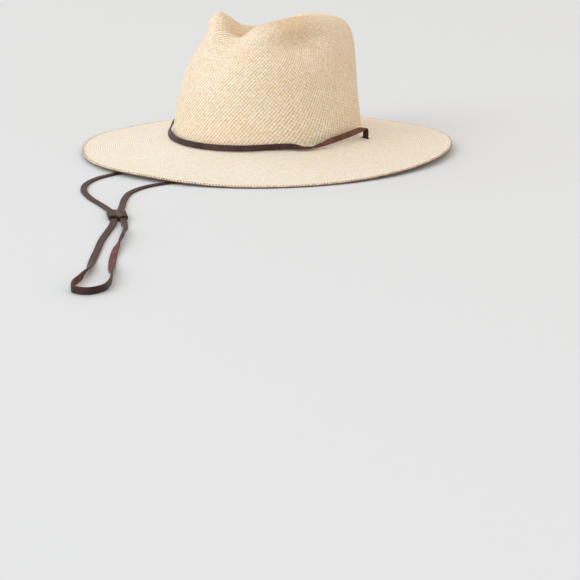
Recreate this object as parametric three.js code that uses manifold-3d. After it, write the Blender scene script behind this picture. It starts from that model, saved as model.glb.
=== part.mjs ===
// Wide-brimmed straw hat of fedora form: crown and brim woven in one piece, a thin flat leather lace
// round the front of the crown, down through a hole in each side of the brim, and back as a chin
// lace with a leather slider. Millimetres, +Z up. The hat faces -Y, its wearer's left side is +X,
// and the brim's edge rests on the plane z = 0. Angles in plan run from the front towards +X.
import * as THREE from "three";
import { mergeVertices } from "three/addons/utils/BufferGeometryUtils.js";
import Module from "manifold-3d";

// Straw body
const WALL = 2;
const CROWN_HALF_WIDTH = 86;
const CROWN_HALF_LENGTH = 103;
const BRIM_WIDTH = { side: 86, front: 84, back: 80 };
const BREAK_HEIGHT = 16.2; // where the crown meets the brim's upper face
const BRIM_BOW = 1.1; // over 1, the brim flattens towards its edge
const EDGE_FLAT = 5; // the woven edge lies flat for this width
const EDGE_LIFTS = [
  { at: -68, spread: 42, rise: 3.2 },
  { at: -17, spread: 40, rise: 3.4 },
  { at: 106, spread: 70, rise: 5 },
];
const BREAK_FILLET = 4.5;

// Open crown, before it is creased by hand
const CROWN_RISE = 113.5;
const CROWN_SQUARENESS = 4.6; // exponent of the profile: 2 is round, 6 is a box
const CROWN_TAPER = { front: 0.0, side: 0.25, back: 0.01, bow: 1.1, lopsided: 0.38 };
const CROWN_LEAN = { x: 13.2, y: 16.5 };
const CROWN_WALL = { share: 0.58, level: 0.9 }; // the steep part of the profile, and where it ends
// How the top falls or rises: by how much, from what y on, and over what length that grows
const ROOF = {
  backFall: { by: 7.3, from: -10, over: 95 },
  frontRise: { by: 2.0, from: -20, over: 50 },
  rightFall: { by: 10.5, from: -40, over: 60, sideways: 40 },
};
const PEAK = { x: -32.9, y: -52.7, radius: 21.5, stretch: 1.25, rise: 20.3 };

// Centre crease: its depth and half width at places from front to back
const CREASE = [
  { y: -90, depth: 8.1, half: 14.8 },
  { y: -66, depth: 12.1, half: 15.5 },
  { y: -30, depth: 33.3, half: 19.0 },
  { y: 15, depth: 31.4, half: 23.5 },
  { y: 55, depth: 10.0, half: 29.6 },
  { y: 85, depth: 0.0, half: 30.0 },
];
const CREASE_DRIFT = { x: -4.4, over: 70 };
const CREASE_EDGE = 2.4;
const CREASE_START = 0.5;
const CREASE_FULL = 0.92;

// Pinches pressed into the front by finger and thumb
const PINCHES = [
  { angle: 56, height: 107.5, depth: 11.8, along: 33, upright: 12.2 },
  { angle: -48, height: 103.4, depth: 8.2, along: 26, upright: 19 },
];
const PINCH_REACH = 38; // how deep into the crown a pinch still pushes
const PINCH_RING = 0.8; // a pinch's middle lies at this share of the crown's base

// Lace and its holes
const LACE = { width: 5.5, thickness: 1.3, chamfer: 0.35 };
const HOLE = { angle: 97, out: 8, width: 9, length: 5, above: 6, below: 8 };

// Slider: a folded leather keeper with a channel for each run of the lace
const SLIDER = { width: 15.6, length: 23.5, thickness: 4.2, corner: 1.1, waist: 0.5 };
const CHANNEL = { width: 6.1, height: 1.9, apart: 7.5 };
const SLIDER_ENTRY = { x: 8, y: -311 };
const SLIDER_COURSE = { x: 0.561, y: -0.828 };
const FLOOR_GAP = 0.3;

// Mesh fineness
const AROUND = 76;
const NORMAL_TURN = 0.02; // radians looked to each side for a face's direction
const BRIM_ROWS = 6;
const FILLET_ROWS = 3;
const CROWN_ROWS = 19;
const LACE_STEP = 17;
const LACE_BEND_STEP = { bend: 28, twist: 14 }; // length that a radian of bend or twist counts for
const LACE_SAMPLES = 1200;
const ROUND_SEGMENTS = 6;

const smooth = (t) => {
  const c = Math.min(1, Math.max(0, t));
  return c * c * (3 - 2 * c);
};
const radians = (degrees) => (degrees * Math.PI) / 180;

// One column of a table read at a place, eased from row to row.
function readTable(rows, key, column, at) {
  if (at <= rows[0][key]) return rows[0][column];
  for (let i = 1; i < rows.length; i++) {
    if (at > rows[i][key]) continue;
    const share = smooth((at - rows[i - 1][key]) / (rows[i][key] - rows[i - 1][key]));
    return rows[i - 1][column] + share * (rows[i][column] - rows[i - 1][column]);
  }
  return rows[rows.length - 1][column];
}

// How far the brim's edge stands up at an angle: rounded swells with plain flat stretches between.
function edgeLift(angle) {
  let lift = 0;
  for (const swell of EDGE_LIFTS) {
    const away = Math.atan2(Math.sin(angle - radians(swell.at)), Math.cos(angle - radians(swell.at)));
    const share = Math.min(1, Math.abs(away) / radians(swell.spread));
    lift += swell.rise * Math.cos((Math.PI / 2) * share) ** 2;
  }
  return lift;
}

function brimWidth(angle) {
  const ahead = Math.max(0, Math.cos(angle)) ** 2;
  const behind = Math.max(0, -Math.cos(angle)) ** 2;
  const { side, front, back } = BRIM_WIDTH;
  return side + (front - side) * ahead + (back - side) * behind;
}

// Upper face of the brim, a distance out from the crown's base.
function brimPoint(angle, out) {
  const width = brimWidth(angle);
  const share = Math.min(1, out / (width - EDGE_FLAT));
  const foot = WALL + edgeLift(angle) * share * share;
  const z = foot + (BREAK_HEIGHT - WALL) * (1 - share) ** BRIM_BOW;
  return new THREE.Vector3(
    (CROWN_HALF_WIDTH + out) * Math.sin(angle),
    -(CROWN_HALF_LENGTH + out) * Math.cos(angle),
    z,
  );
}

// Outer face of the crown at an angle. ring is the share of the base left at that level of the open
// crown, level its height as a share of the whole; the two lie on one squarish curve.
function crownPoint(angle, ring, level) {
  const ahead = Math.max(0, Math.cos(angle)) ** 2;
  const behind = Math.max(0, -Math.cos(angle)) ** 2;
  const beside = Math.sin(angle) ** 2 * (1 + CROWN_TAPER.lopsided * Math.sin(angle));
  const taper = CROWN_TAPER.front * ahead + CROWN_TAPER.side * beside + CROWN_TAPER.back * behind;
  const size = ring * (1 - taper * level ** CROWN_TAPER.bow);
  let x = CROWN_HALF_WIDTH * Math.sin(angle) * size + CROWN_LEAN.x * level ** 2;
  let y = -CROWN_HALF_LENGTH * Math.cos(angle) * size + CROWN_LEAN.y * level ** 2;
  let z = BREAK_HEIGHT + CROWN_RISE * level;
  const roof = level ** 3;
  const { backFall, frontRise, rightFall } = ROOF;
  z -= backFall.by * smooth((y - backFall.from) / backFall.over) * roof;
  z += frontRise.by * smooth((frontRise.from - y) / frontRise.over) * roof;
  const rightward = smooth(-x / rightFall.sideways);
  z -= rightFall.by * rightward * smooth((y - rightFall.from) / rightFall.over) * roof;
  const peakX = (x - PEAK.x) / PEAK.radius;
  const peakY = (y - PEAK.y) / (PEAK.radius * PEAK.stretch);
  z += PEAK.rise * Math.exp(-(peakX ** 2) - peakY ** 2) * roof;
  z -= creaseDepth(x, y, z);
  for (const pinch of PINCHES) {
    const push = pinchPush(pinch, x, y, z);
    x -= push.x;
    y -= push.y;
  }
  return new THREE.Vector3(x, y, z);
}

// The centre crease: a trough along the hat, deepest behind its front lip.
function creaseDepth(x, y, z) {
  const depth = readTable(CREASE, "y", "depth", y);
  const half = readTable(CREASE, "y", "half", y);
  const middle = CREASE_DRIFT.x * smooth(-y / CREASE_DRIFT.over);
  const high = (z - BREAK_HEIGHT) / CROWN_RISE;
  const share = smooth((high - CREASE_START) / (CREASE_FULL - CREASE_START));
  return depth * share * Math.exp(-(Math.abs((x - middle) / half) ** CREASE_EDGE));
}

// A pinch: a rounded dent pressed straight in towards the crown's middle.
function pinchPush(pinch, x, y, z) {
  const angle = radians(pinch.angle);
  const inX = Math.sin(angle) * CROWN_HALF_LENGTH;
  const inY = -Math.cos(angle) * CROWN_HALF_WIDTH;
  const length = Math.hypot(inX, inY);
  const outward = { x: inX / length, y: inY / length };
  const fromX = x - CROWN_HALF_WIDTH * Math.sin(angle) * PINCH_RING;
  const fromY = y + CROWN_HALF_LENGTH * Math.cos(angle) * PINCH_RING;
  const along = -fromX * outward.y + fromY * outward.x;
  const inward = fromX * outward.x + fromY * outward.y;
  const bell = Math.exp(-((along / pinch.along) ** 2) - ((z - pinch.height) / pinch.upright) ** 2);
  const push = pinch.depth * bell * smooth((inward + PINCH_REACH) / PINCH_REACH);
  return { x: outward.x * push, y: outward.y * push };
}

// The profile of the open crown from share 0, at the break, to share 1, at the middle of the top.
function crownRow(angle, share) {
  const power = CROWN_SQUARENESS;
  if (share < CROWN_WALL.share) {
    const level = (CROWN_WALL.level * share) / CROWN_WALL.share;
    return crownPoint(angle, (1 - level ** power) ** (1 / power), level);
  }
  const ringAtTop = (1 - CROWN_WALL.level ** power) ** (1 / power);
  const ring = (ringAtTop * (1 - share)) / (1 - CROWN_WALL.share);
  return crownPoint(angle, ring, (1 - ring ** power) ** (1 / power));
}

// Outer face as one run from the brim's edge, 0, through the rounded break to the crown's middle, 1.
function bodyRuns() {
  const runs = [];
  const flat = (angle) => brimWidth(angle) - EDGE_FLAT;
  runs.push((angle) => brimPoint(angle, brimWidth(angle)));
  for (let i = 0; i <= BRIM_ROWS; i++) {
    const share = i / BRIM_ROWS;
    runs.push((angle) => brimPoint(angle, flat(angle) * (1 - share) + BREAK_FILLET * share));
  }
  const riseShare = (CROWN_WALL.share / CROWN_WALL.level) * (BREAK_FILLET / CROWN_RISE);
  for (let i = 1; i < FILLET_ROWS; i++) {
    const t = i / FILLET_ROWS;
    runs.push((angle) => {
      const low = brimPoint(angle, BREAK_FILLET).multiplyScalar((1 - t) ** 2);
      const corner = brimPoint(angle, 0).multiplyScalar(2 * t * (1 - t));
      const high = crownRow(angle, riseShare).multiplyScalar(t * t);
      return low.add(corner).add(high);
    });
  }
  for (let i = 0; i < CROWN_ROWS; i++) {
    const share = riseShare + ((1 - riseShare) * i) / CROWN_ROWS;
    runs.push((angle) => crownRow(angle, share));
  }
  return runs;
}

// Unit normal of a run of rows, from the neighbours in both directions.
function rowNormal(runs, row, angle) {
  const before = runs[Math.max(0, row - 1)](angle);
  const after = runs[Math.min(runs.length - 1, row + 1)](angle);
  const left = runs[row](angle - NORMAL_TURN);
  const right = runs[row](angle + NORMAL_TURN);
  return right.sub(left).cross(after.sub(before)).normalize();
}

function meshGeometry(positions, indices) {
  const geometry = new THREE.BufferGeometry();
  geometry.setAttribute("position", new THREE.Float32BufferAttribute(positions, 3));
  geometry.setIndex(indices);
  return geometry;
}

// The straw body as one closed wall: outer rows from the edge up to the middle of the crown, then
// inner rows back down to the edge, WALL inside them.
function strawWall() {
  const runs = bodyRuns();
  const top = crownRow(0, 1);
  const positions = [];
  const indices = [];
  const ringStart = [];
  const addRing = (place) => {
    ringStart.push(positions.length / 3);
    for (let i = 0; i < AROUND; i++) positions.push(...place((2 * Math.PI * i) / AROUND).toArray());
  };
  const joinRings = (a, b) => {
    for (let i = 0; i < AROUND; i++) {
      const j = (i + 1) % AROUND;
      indices.push(a + i, a + j, b + j, a + i, b + j, b + i);
    }
  };
  const down = new THREE.Vector3(0, 0, -WALL);
  const inner = (row) => (angle) => {
    const point = runs[row](angle);
    if (row <= BRIM_ROWS) return point.add(down);
    return point.addScaledVector(rowNormal(runs, row, angle), -WALL);
  };
  runs.forEach((place) => addRing(place));
  for (let i = 1; i < ringStart.length; i++) joinRings(ringStart[i - 1], ringStart[i]);
  const outerLast = ringStart[ringStart.length - 1];
  const innerFirst = ringStart.length;
  for (let row = runs.length - 1; row >= 0; row--) addRing(inner(row));
  for (let i = innerFirst + 1; i < ringStart.length; i++) joinRings(ringStart[i - 1], ringStart[i]);
  joinRings(ringStart[ringStart.length - 1], ringStart[0]);
  const outerTop = positions.length / 3;
  positions.push(...top.toArray());
  const innerTop = outerTop + 1;
  positions.push(top.x, top.y, top.z - WALL);
  for (let i = 0; i < AROUND; i++) {
    const j = (i + 1) % AROUND;
    indices.push(outerLast + i, outerLast + j, outerTop);
    indices.push(innerTop, ringStart[innerFirst] + j, ringStart[innerFirst] + i);
  }
  return meshGeometry(positions, indices);
}

const wasm = await Module();
wasm.setup();

function toSolid(geometry) {
  const bare = new THREE.BufferGeometry();
  const source = geometry.index ? geometry.toNonIndexed() : geometry;
  bare.setAttribute("position", source.getAttribute("position"));
  const merged = mergeVertices(bare, 1e-4);
  return new wasm.Manifold(
    new wasm.Mesh({
      numProp: 3,
      vertProperties: merged.attributes.position.array,
      triVerts: new Uint32Array(merged.index.array),
    }),
  );
}

function toGeometry(solid) {
  const mesh = solid.getMesh();
  const geometry = new THREE.BufferGeometry();
  geometry.setAttribute("position", new THREE.BufferAttribute(mesh.vertProperties, 3));
  geometry.setIndex(new THREE.BufferAttribute(mesh.triVerts, 1));
  return geometry;
}

// Where the lace goes through the brim: side is 1 for the wearer's left and -1 for the right.
function holePlace(side) {
  return brimPoint(side * radians(HOLE.angle), HOLE.out);
}

// A plug the shape of a lace hole: a slot with round ends, its long side pointing out.
function holePlug(side) {
  const half = (HOLE.width - HOLE.length) / 2;
  const shape = new THREE.Shape();
  shape.absarc(half, 0, HOLE.length / 2, -Math.PI / 2, Math.PI / 2, false);
  shape.absarc(-half, 0, HOLE.length / 2, Math.PI / 2, (3 * Math.PI) / 2, false);
  const depth = HOLE.above + HOLE.below;
  const settings = { depth, bevelEnabled: false, curveSegments: ROUND_SEGMENTS };
  const place = holePlace(side);
  return new THREE.ExtrudeGeometry(shape, settings).translate(place.x, place.y, place.z - HOLE.below);
}

function strawBody() {
  return [1, -1].reduce((body, side) => body.subtract(toSolid(holePlug(side))), toSolid(strawWall()));
}

// A flat lace: a smooth curve through rows of place and facing, where facing is the way the grain
// side looks. Its steps come closer together where it bends or twists.
class LaceCurve extends THREE.Curve {
  constructor(rows) {
    super();
    this.path = new THREE.CatmullRomCurve3(rows.map((row) => row.place));
    this.facings = rows.map((row) => row.facing);
    this.measure();
  }

  facingAt(t) {
    const last = this.facings.length - 1;
    const i = Math.min(last - 1, Math.floor(t * last));
    const tangent = this.path.getTangent(t);
    const facing = this.facings[i].clone().lerp(this.facings[i + 1], smooth(t * last - i));
    return facing.addScaledVector(tangent, -facing.dot(tangent)).normalize();
  }

  measure() {
    this.effort = [0];
    for (let i = 1; i <= LACE_SAMPLES; i++) {
      const a = (i - 1) / LACE_SAMPLES;
      const b = i / LACE_SAMPLES;
      const run = this.path.getPoint(a).distanceTo(this.path.getPoint(b));
      const bend = this.path.getTangent(a).angleTo(this.path.getTangent(b));
      const twist = this.facingAt(a).angleTo(this.facingAt(b));
      const turning = LACE_BEND_STEP.bend * bend + LACE_BEND_STEP.twist * twist;
      this.effort.push(this.effort[i - 1] + run + turning);
    }
    this.steps = Math.ceil(this.effort[LACE_SAMPLES] / LACE_STEP);
  }

  stations(count) {
    const found = [];
    let i = 0;
    for (let k = 0; k <= count; k++) {
      const wanted = (this.effort[LACE_SAMPLES] * k) / count;
      while (i < LACE_SAMPLES - 1 && this.effort[i + 1] < wanted) i++;
      const share = (wanted - this.effort[i]) / (this.effort[i + 1] - this.effort[i]);
      found.push(Math.min(1, (i + share) / LACE_SAMPLES));
    }
    return found;
  }

  // A place on the curve, raised where a lace on the floor would sink into it.
  placeAt(t) {
    const place = this.path.getPoint(t);
    const flatness = Math.abs(this.facingAt(t).z);
    const reach = (flatness * LACE.thickness + Math.sqrt(1 - flatness ** 2) * LACE.width) / 2;
    place.z = Math.max(place.z, FLOOR_GAP + reach);
    return place;
  }

  getSpacedPoints(count) {
    return this.stations(count).map((t) => this.placeAt(t));
  }

  computeFrenetFrames(count) {
    const stations = this.stations(count);
    const tangents = stations.map((t) => this.path.getTangent(t));
    const normals = stations.map((t) => this.facingAt(t));
    const binormals = stations.map((t, i) => tangents[i].clone().cross(normals[i]));
    return { tangents, normals, binormals };
  }
}

function laceSection() {
  const x = LACE.thickness / 2;
  const y = LACE.width / 2;
  const c = LACE.chamfer;
  const corners = [
    [x, c - y], [x, y - c], [x - c, y], [c - x, y],
    [-x, y - c], [-x, c - y], [c - x, -y], [x - c, -y],
  ];
  return new THREE.Shape(corners.map(([a, b]) => new THREE.Vector2(a, b)));
}

function laceGeometry(rows) {
  const curve = new LaceCurve(rows);
  return new THREE.ExtrudeGeometry(laceSection(), { steps: curve.steps, extrudePath: curve });
}

// Crown lace: place round the crown, height of its middle, distance of its middle from the wall,
// and how far its outer face leans back to look up. The rows run from hole to hole.
const CROWN_LACE = [
  { angle: -89, height: 25.2, stand: 7.6, lean: 86 },
  { angle: -82, height: 23.6, stand: 6.2, lean: 62 },
  { angle: -72, height: 21.0, stand: 4.4, lean: 34 },
  { angle: -60, height: 19.6, stand: 3.6, lean: 26 },
  { angle: -45, height: 18.9, stand: 3.4, lean: 24 },
  { angle: -30, height: 18.7, stand: 3.4, lean: 24 },
  { angle: -15, height: 18.8, stand: 3.4, lean: 24 },
  { angle: 0, height: 19.0, stand: 3.1, lean: 24 },
  { angle: 15, height: 19.4, stand: 2.6, lean: 18 },
  { angle: 30, height: 20.2, stand: 2.0, lean: 12 },
  { angle: 41, height: 20.0, stand: 2.4, lean: 30 },
  { angle: 50, height: 17.9, stand: 4.6, lean: 82 },
  { angle: 58, height: 18.7, stand: 5.2, lean: 138 },
  { angle: 66, height: 20.7, stand: 4.8, lean: 176 },
  { angle: 75, height: 22.2, stand: 5.2, lean: 188 },
  { angle: 84, height: 23.5, stand: 6.6, lean: 206 },
  { angle: 90, height: 24.0, stand: 7.5, lean: 230 },
];
// The turn down into a hole: distances back from the hole, heights, and the look of the grain side,
// 0 where it looks back. At the left hole it looks the other way, as the lace has half turned.
const HOLE_TURN = [
  { back: -0.9, height: 23.7, look: 45 },
  { back: 1.0, height: 21.4, look: 12 },
  { back: 1.2, height: 17.8, look: 0 },
  { back: 0.4, height: 14.2, look: -12 },
  { back: -1.8, height: 10.9, look: -36 },
];

function crownLaceRow(row) {
  const angle = radians(row.angle);
  const level = (row.height - BREAK_HEIGHT) / CROWN_RISE;
  const wall = crownPoint(angle, 1, level);
  const outward = new THREE.Vector3(
    Math.sin(angle) * CROWN_HALF_LENGTH,
    -Math.cos(angle) * CROWN_HALF_WIDTH,
    0,
  ).normalize();
  const lean = radians(row.lean);
  const facing = outward.clone().multiplyScalar(Math.cos(lean));
  facing.z = Math.sin(lean);
  return { place: wall.addScaledVector(outward, row.stand), facing };
}

function holeTurnRow(row, side) {
  const hole = holePlace(side);
  const look = radians(side === 1 ? row.look + 180 : row.look);
  return {
    place: new THREE.Vector3(hole.x, hole.y + row.back, row.height),
    facing: new THREE.Vector3(0, Math.cos(look), Math.sin(look)),
  };
}

function crownLace() {
  const left = HOLE_TURN.map((row) => holeTurnRow(row, 1));
  const right = HOLE_TURN.map((row) => holeTurnRow(row, -1)).reverse();
  return laceGeometry([...right, ...CROWN_LACE.map(crownLaceRow), ...left]);
}

// Chin lace: its route as places chosen by hand, and its roll in degrees, 0 where the grain side is
// up and -90 where it stands on edge with the grain side to the left of its run. It starts under the
// left hole, runs under the brim to the front, through the slider, round its far end and back.
const CHIN_LACE = [
  [93.3, 11.4, 10.5, 0],
  [93.3, 8.6, 7.4, 0],
  [93.3, 4.6, 4.5, 0],
  [93.2, -1.4, 2.2, 0],
  [92.8, -9, 1.15, 0],
  [91.4, -20, 0.95, 0],
  [86, -48, 0.95, 0],
  [76, -78, 0.95, 0],
  [60, -110, 0.95, 0],
  [38, -139, 0.95, 0],
  [12, -163, 0.95, 0],
  [-9, -183, 0.95, 0],
  [-20, -206, 0.95, 0],
  [-21, -232, 0.95, 0],
  [-13, -258, 0.95, 0],
  [-1, -284, 1.1, 0],
  [11.1, -308.9, 2.4, 0],
  [17.7, -318.6, 2.4, 0],
  [24.3, -328.4, 2.4, 0],
  [37, -349, 1.8, -20],
  [49, -372, 2.9, -90],
  [59, -396, 3.05, -100],
  [69, -421, 1.8, -160],
  [80, -445, 1.0, -180],
  [93, -470, 1.6, -160],
  [106, -493, 3.05, -90],
  [116, -514, 3.05, -90],
  [119.5, -530, 3.05, -90],
  [114, -541.5, 3.05, -90],
  [102.5, -541.5, 3.05, -90],
  [95, -530, 3.05, -90],
  [90, -510, 3.05, -90],
  [82, -485, 2.2, -45],
  [69, -456, 1.0, 0],
  [56, -426, 0.95, 0],
  [43, -396, 0.95, 0],
  [32, -366, 0.95, 0],
  [24.5, -345, 1.6, 0],
  [18.1, -332.6, 2.4, 0],
  [11.5, -322.8, 2.4, 0],
  [4.9, -313.1, 2.4, 0],
  [-4.5, -301.5, 1.6, 0],
  [-20, -286, 0.95, 0],
  [-42, -266, 0.95, 0],
  [-61, -243, 0.95, 0],
  [-73, -217, 0.95, 0],
  [-76, -191, 0.95, 0],
  [-71, -165, 0.95, 0],
  [-72, -135, 0.95, 0],
  [-79, -100, 0.95, 0],
  [-87, -60, 0.95, 0],
  [-91.4, -20, 0.95, 0],
  [-92.8, -9, 1.15, 0],
  [-93.2, -1.4, 2.2, 0],
  [-93.3, 4.6, 4.5, 0],
  [-93.3, 8.6, 7.4, 0],
  [-93.3, 11.4, 10.5, 0],
];

function chinLaceRows() {
  const places = CHIN_LACE.map(([x, y, z]) => new THREE.Vector3(x, y, z));
  const path = new THREE.CatmullRomCurve3(places);
  return CHIN_LACE.map(([x, y, z, roll], i) => {
    const tangent = path.getTangent(i / (CHIN_LACE.length - 1));
    const rightHand = tangent.clone().cross(new THREE.Vector3(0, 0, 1)).normalize();
    const up = rightHand.clone().cross(tangent);
    const facing = up.multiplyScalar(Math.cos(radians(roll)));
    facing.addScaledVector(rightHand, Math.sin(radians(roll)));
    return { place: new THREE.Vector3(x, y, z), facing };
  });
}

// The slider's section: two lobes round the two runs, drawn in at the middle where it is sewn.
function sliderSection() {
  const halfWidth = SLIDER.width / 2;
  const half = SLIDER.thickness / 2;
  const { corner } = SLIDER;
  const shape = new THREE.Shape();
  shape.moveTo(corner - halfWidth, -half);
  shape.lineTo(halfWidth - corner, -half);
  shape.quadraticCurveTo(halfWidth, -half, halfWidth, corner - half);
  shape.lineTo(halfWidth, half - corner);
  shape.quadraticCurveTo(halfWidth, half, halfWidth - corner, half);
  shape.quadraticCurveTo(0, half - 2 * SLIDER.waist, corner - halfWidth, half);
  shape.quadraticCurveTo(-halfWidth, half, -halfWidth, half - corner);
  shape.lineTo(-halfWidth, corner - half);
  shape.quadraticCurveTo(-halfWidth, -half, corner - halfWidth, -half);
  return shape;
}

function channelSection(middle) {
  const x = CHANNEL.width / 2;
  const y = CHANNEL.height / 2;
  const corners = [[-x, -y], [x, -y], [x, y], [-x, y]];
  return new THREE.Shape(corners.map(([a, b]) => new THREE.Vector2(middle + a, b)));
}

function sliderGeometry() {
  const settings = { bevelEnabled: false, curveSegments: ROUND_SEGMENTS };
  const sleeve = new THREE.ExtrudeGeometry(sliderSection(), { ...settings, depth: SLIDER.length });
  const overrun = 1;
  const channels = [-1, 1].map((side) => {
    const section = channelSection((side * CHANNEL.apart) / 2);
    const depth = SLIDER.length + 2 * overrun;
    return new THREE.ExtrudeGeometry(section, { ...settings, depth }).translate(0, 0, -overrun);
  });
  return toGeometry(channels.reduce((body, channel) => body.subtract(toSolid(channel)), toSolid(sleeve)));
}

function material(color, roughness) {
  return new THREE.MeshStandardMaterial({ color, roughness, metalness: 0 });
}

function named(name, geometry, finish) {
  const mesh = new THREE.Mesh(geometry, finish);
  mesh.name = name;
  return mesh;
}

const straw = material(0xe9d6b0, 0.75);
const laceLeather = material(0x4a3530, 0.5);
const sliderLeather = material(0x4d3b31, 0.55);

const hat = new THREE.Group();
hat.add(named("straw_body", toGeometry(strawBody()), straw));
hat.add(named("crown_lace", crownLace().deleteAttribute("uv"), laceLeather));
hat.add(named("chin_lace", laceGeometry(chinLaceRows()), laceLeather));

// The slider lies along the lace: its length on the lace's course and its section upright.
const slider = named("slider", sliderGeometry(), sliderLeather);
const course = new THREE.Vector3(SLIDER_COURSE.x, SLIDER_COURSE.y, 0).normalize();
const upward = new THREE.Vector3(0, 0, 1);
const across = upward.clone().cross(course);
slider.quaternion.setFromRotationMatrix(new THREE.Matrix4().makeBasis(across, upward, course));
slider.position.set(SLIDER_ENTRY.x, SLIDER_ENTRY.y, FLOOR_GAP + SLIDER.thickness / 2);
hat.add(slider);

export default hat;
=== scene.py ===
"""The looks of a wide-brimmed woven straw hat with a flat leather lace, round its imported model.

Metres, +Z up. The hat faces -Y, its wearer's left is +X, and angles in plan run from the front
towards +X, as in the part's source. Every new piece is a grid of points worked out with numpy.
"""
import math

import bmesh
import bpy
import numpy as np
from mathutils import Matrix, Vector


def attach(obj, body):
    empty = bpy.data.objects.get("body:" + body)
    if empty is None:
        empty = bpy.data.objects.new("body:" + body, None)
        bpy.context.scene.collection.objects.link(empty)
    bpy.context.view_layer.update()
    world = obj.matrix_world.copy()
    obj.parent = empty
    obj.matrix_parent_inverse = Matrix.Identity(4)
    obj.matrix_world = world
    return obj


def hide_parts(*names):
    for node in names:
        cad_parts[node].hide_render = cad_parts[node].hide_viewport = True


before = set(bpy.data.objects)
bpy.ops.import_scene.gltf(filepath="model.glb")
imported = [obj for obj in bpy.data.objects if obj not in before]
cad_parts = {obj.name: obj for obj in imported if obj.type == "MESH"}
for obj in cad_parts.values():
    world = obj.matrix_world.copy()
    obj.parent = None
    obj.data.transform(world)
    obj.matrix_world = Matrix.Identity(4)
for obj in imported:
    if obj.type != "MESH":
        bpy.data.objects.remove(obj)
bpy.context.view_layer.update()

# Camera: it stands where the photograph was taken from, with no shift and no roll
CAMERA_PLACE = (0.8131, -1.7436, 0.3693)
CAMERA_AIM = (-0.3993, 0.8805, -0.2554)
FOCAL_PIXELS = 2063.5
PICTURE_PIXELS = 580
SENSOR_MM = 36.0

# Straw body, as in the part's source
WALL = 0.002
CROWN_HALF_WIDTH = 0.086
CROWN_HALF_LENGTH = 0.103
BRIM_SIDE = 0.086
BRIM_FRONT = 0.084
BRIM_BACK = 0.080
BREAK_HEIGHT = 0.0162
BRIM_BOW = 1.1
EDGE_FLAT = 0.005
BREAK_FILLET = 0.0045
# Lifts of the brim's edge: at degrees, spread degrees, rise
EDGE_LIFTS = ((-68.0, 42.0, 0.0032), (-17.0, 40.0, 0.0034), (106.0, 70.0, 0.0050))

CROWN_RISE = 0.1135
CROWN_SQUARENESS = 4.6
TAPER_FRONT = 0.0
TAPER_SIDE = 0.25
TAPER_BACK = 0.01
TAPER_BOW = 1.1
TAPER_LOPSIDED = 0.38
CROWN_LEAN = (0.0132, 0.0165)
WALL_SHARE = 0.58
WALL_LEVEL = 0.9
PEAK_PLACE = (-0.0329, -0.0527)
PEAK_RADIUS = 0.0215
PEAK_STRETCH = 1.25
PEAK_RISE = 0.0203
# Fall and rise of the crown's roof: amount, where it starts, over how far
ROOF_BACK_FALL = (0.0073, -0.010, 0.095)
ROOF_FRONT_RISE = (0.0020, -0.020, 0.050)
ROOF_RIGHT_FALL = (0.0105, -0.040, 0.060)
ROOF_SIDEWAYS = 0.040
# Centre crease: y, depth, half width
CREASE = (
    (-0.090, 0.0081, 0.0148),
    (-0.066, 0.0121, 0.0155),
    (-0.030, 0.0333, 0.0190),
    (0.015, 0.0314, 0.0235),
    (0.055, 0.0100, 0.0296),
    (0.085, 0.0000, 0.0300),
)
CREASE_DRIFT = -0.0044
CREASE_DRIFT_OVER = 0.070
CREASE_EDGE = 2.4
CREASE_START = 0.5
CREASE_FULL = 0.92
# Pinches: angle, height, depth, reach along, reach upright
PINCHES = ((56.0, 0.1075, 0.0118, 0.033, 0.0122), (-48.0, 0.1034, 0.0082, 0.026, 0.019))
PINCH_REACH = 0.038
PINCH_RING = 0.8

# Grid of the straw body
AROUND = 384
BRIM_ROWS = 46
FILLET_ROWS = 5
CROWN_ROWS = 118
INNER_EVERY = 2
MERGE_DISTANCE = 1e-6
LEAST_LENGTH = 1e-15
HAND_WAVE = 0.0005
HAND_WAVE_FROM = 0.030
HAND_WAVE_EDGE_ROWS = 9
# Waves a metre sideways, waves a metre backwards, start
HAND_WAVES = ((61.0, 17.0, 0.0), (-29.0, 83.0, 1.3), (127.0, 0.0, 2.1))

PATTERN_UV = "pattern"

# Strands of the weave: spacing on the crown's wall, and their turn in degrees round the hat
CROWN_STRAND = 0.00275
MEAN_RADIUS = 0.0948
WALL_MIDDLE = 0.055
# angle, turn
STRAND_TURN = (
    (-180.0, 44.0),
    (-110.0, 48.0),
    (-60.0, 46.0),
    (20.0, 42.0),
    (75.0, 18.0),
    (110.0, 14.0),
    (180.0, 44.0),
)
# Strands round the roof, and the radius down to which each count reaches
ROOF_OUTSIDE = 0.060
ROOF_LEAST_RADIUS = 0.002
ROOF_RINGS = (
    (94, 0.045),
    (70, 0.030),
    (46, 0.020),
    (30, 0.013),
    (22, 0.008),
    (14, 0.005),
    (8, 0.0),
)
# Strands round the brim, and the distance out to which each count reaches
BRIM_STRAND = 0.0020
BRIM_RINGS = ((312, 0.042), (428, 1.0))

# Border: the braided edge of the brim
BORDER_WIDTH = 0.0034
BORDER_HEIGHT = 0.0022
BORDER_COLUMNS = 3120
BORDER_POINTS = 16
BORDER_RIDGES = 390
BORDER_RIDGE_DEPTH = 0.20
BORDER_LAY = 3
BORDER_ROUND = (0.6, 0.5)

# Lace and slider
LACE_WIDTH = 0.0055
LACE_THICKNESS = 0.0013
LACE_STEP = 0.0016
LACE_POINTS = 24
LACE_ROUND = (0.45, 0.22)
LACE_SAMPLES = 4000
FLOOR_GAP = 0.0003
HOLE_ANGLE = 97.0
HOLE_OUT = 0.008
HOLE_WIDTH = 0.009
HOLE_LENGTH = 0.005
SLOT_POINTS = 24
SLOT_REACH = 0.008

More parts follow.
